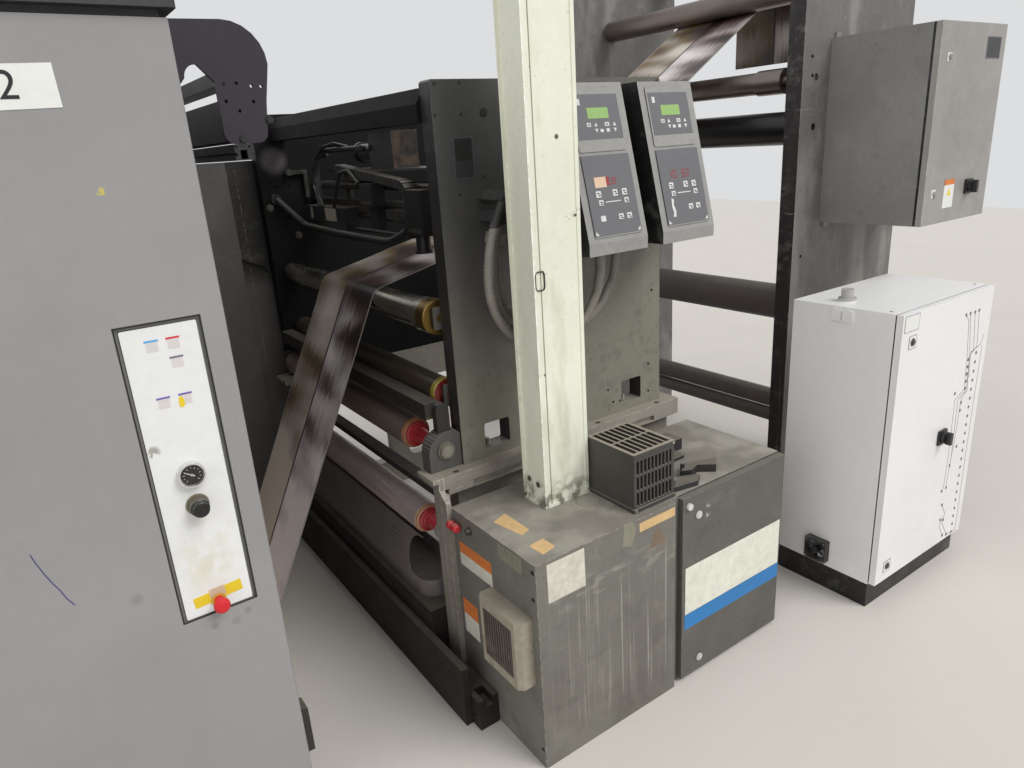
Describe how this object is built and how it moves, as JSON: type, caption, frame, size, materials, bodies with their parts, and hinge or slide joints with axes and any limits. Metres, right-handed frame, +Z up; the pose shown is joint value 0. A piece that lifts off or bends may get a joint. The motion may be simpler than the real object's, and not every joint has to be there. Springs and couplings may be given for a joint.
{
  "type": "offset printing press",
  "caption": "Web offset printing press with one printing unit, a roller and register stand carrying the paper web, floor cabinet, consoles and web tower",
  "frame": {"origin": "the middle of the floor area under the whole machine, at floor level", "axes": "x runs along the web from the printing unit to the tower, y from the operator side to the drive side, z up"},
  "size_m": [4.705, 2.503, 2.6],
  "materials": {
    "frame_dark": "dark grey machine enamel, oily and worn",
    "frame_grey": "mid grey machine enamel with scuffs",
    "plate_grey": "grey enamel on planed plate",
    "tower_grey": "dark grey enamel with chalk smears",
    "housing_grey": "grey enamel, smooth sheet covers",
    "drive_grey": "light grey enamel panels",
    "cover_dark": "dark grey enamel, dusty",
    "cylinder_steel": "ground steel",
    "roller_steel": "turned steel, oil film",
    "roller_chrome": "hard chrome, finely streaked",
    "ink_rubber": "dark roller rubber",
    "panel_white": "white coated panel with coloured bars",
    "gauge_metal": "plated bezel",
    "black_plastic": "black moulded plastic",
    "red_plastic": "red moulded plastic",
    "arm_purple": "purple grey enamel",
    "beam_black": "black enamel and anodised parts",
    "printed_paper": "paper web, printed in muted tones",
    "cabinet_grey": "grey enamel sheet with scuffed edges",
    "riser_cream": "green cream enamel sheet",
    "console_grey": "grey enamel front in a black shell",
    "conduit_grey": "corrugated grey conduit",
    "tie_brown": "dark brown enamel",
    "cabinet_white": "white enamel sheet"
  },
  "bodies": {
    "base": {"unit_frame_operator": "frame_dark", "unit_frame_drive": "frame_dark", "unit_operator_housing": "housing_grey", "unit_top_cover": "cover_dark", "unit_drive_housing": "drive_grey", "unit_bed": "frame_dark", "unit_bridge": "frame_dark", "upper_print_couple": "cylinder_steel", "lower_print_couple": "cylinder_steel", "unit_turn_roller": "roller_steel", "unit_floor_roller": "roller_steel", "control_panel": "panel_white", "pressure_gauge": "gauge_metal", "scanner_arm_operator": "arm_purple", "scanner_arm_drive": "arm_purple", "scanner_beams": "beam_black", "stand_base_operator": "frame_grey", "stand_base_drive": "frame_grey", "stand_base_beams": "frame_dark", "stand_rear_tie": "frame_dark", "stand_plate_operator": "plate_grey", "stand_plate_drive": "plate_grey", "stand_top_beam": "beam_black", "slotted_guard": "beam_black", "drip_trough": "frame_dark", "roller_brackets": "beam_black", "impression_arm": "beam_black", "stand_bend_roller": "roller_steel", "camera_rail": "roller_chrome", "camera_heads": "beam_black", "camera_cables": "black_plastic", "paper_web": "printed_paper", "floor_cabinet_case": "cabinet_grey", "side_filter_box": "cabinet_grey", "cable_riser": "riser_cream", "ventilated_box": "beam_black", "clamp_arms": "beam_black", "consoles": "console_grey", "console_conduits": "conduit_grey", "tower_plate_operator": "tower_grey", "tower_plate_drive": "tower_grey", "tower_tie_tubes": "tie_brown", "tower_exit_roller": "roller_steel", "wall_cabinet_case": "cabinet_grey", "white_cabinet_case": "cabinet_white"},
    "idler": {"idler_roller": "roller_chrome"},
    "rubber": {"rubber_roller": "ink_rubber"},
    "upper_transfer": {"upper_transfer_roller": "ink_rubber"},
    "lower_transfer": {"lower_transfer_roller": "ink_rubber"},
    "tower_top": {"tower_roller_top": "roller_steel"},
    "tower_middle": {"tower_roller_middle": "roller_steel"},
    "tower_low": {"tower_roller_lower": "ink_rubber"},
    "floor_door": {"floor_cabinet_door": "cabinet_grey"},
    "wall_door": {"wall_cabinet_door": "cabinet_grey"},
    "wall_switch": {"wall_cabinet_switch": "black_plastic"},
    "white_door": {"white_cabinet_door": "cabinet_white"},
    "white_switch": {"white_cabinet_switch": "black_plastic"},
    "regulator": {"regulator_knob": "black_plastic"},
    "stop": {"stop_button": "red_plastic"},
    "white_fan": {"white_cabinet_fan": "black_plastic"}
  },
  "joints": [
    {"name": "idler_spin", "type": "hinge", "parent": "base", "child": "idler", "pos_m": [-0.0575, 0.1795, 1.214], "axis": [0, 1, 0], "continuous": true},
    {"name": "rubber_spin", "type": "hinge", "parent": "base", "child": "rubber", "pos_m": [-0.0475, 0.1795, 0.968], "axis": [0, 1, 0], "continuous": true},
    {"name": "upper_transfer_spin", "type": "hinge", "parent": "base", "child": "upper_transfer", "pos_m": [-0.1115, 0.1795, 0.815], "axis": [0, 1, 0], "continuous": true},
    {"name": "lower_transfer_spin", "type": "hinge", "parent": "base", "child": "lower_transfer", "pos_m": [-0.1455, 0.1795, 0.55], "axis": [0, 1, 0], "continuous": true},
    {"name": "tower_top_spin", "type": "hinge", "parent": "base", "child": "tower_top", "pos_m": [1.8525, 0.1795, 2.225], "axis": [0, 1, 0], "continuous": true},
    {"name": "tower_middle_spin", "type": "hinge", "parent": "base", "child": "tower_middle", "pos_m": [1.6725, 0.1795, 1.867], "axis": [0, 1, 0], "continuous": true},
    {"name": "tower_low_spin", "type": "hinge", "parent": "base", "child": "tower_low", "pos_m": [1.6725, 0.1795, 1.683], "axis": [0, 1, 0], "continuous": true},
    {"name": "floor_door_hinge", "type": "hinge", "parent": "base", "child": "floor_door", "pos_m": [0.8855, -1.011, 0.36], "axis": [0, 0, 1], "range_deg": [0, 110]},
    {"name": "wall_door_hinge", "type": "hinge", "parent": "base", "child": "wall_door", "pos_m": [2.2565, -0.936, 1.654], "axis": [0, 0, 1], "range_deg": [0, 110]},
    {"name": "wall_switch_turn", "type": "hinge", "parent": "wall_door", "child": "wall_switch", "pos_m": [2.0925, -0.9585, 1.423], "axis": [0, 1, 0], "range_deg": [0, 90]},
    {"name": "white_door_hinge", "type": "hinge", "parent": "base", "child": "white_door", "pos_m": [1.8335, -1.191, 0.6], "axis": [0, 0, 1], "range_deg": [0, 110]},
    {"name": "white_switch_turn", "type": "hinge", "parent": "white_door", "child": "white_switch", "pos_m": [1.5665, -1.2135, 0.579], "axis": [0, 1, 0], "range_deg": [0, 90]},
    {"name": "regulator_turn", "type": "hinge", "parent": "base", "child": "regulator", "pos_m": [-0.867, -0.8055, 1.008], "axis": [0, 1, 0], "range_deg": [0, 270]},
    {"name": "stop_press", "type": "slide", "parent": "base", "child": "stop", "axis": [0, 1, 0], "range_m": [0, 0.004]},
    {"name": "fan_spin", "type": "hinge", "parent": "base", "child": "white_fan", "pos_m": [1.1865, -0.9905, 0.16], "axis": [1, 0, 0], "continuous": true}
  ]
}
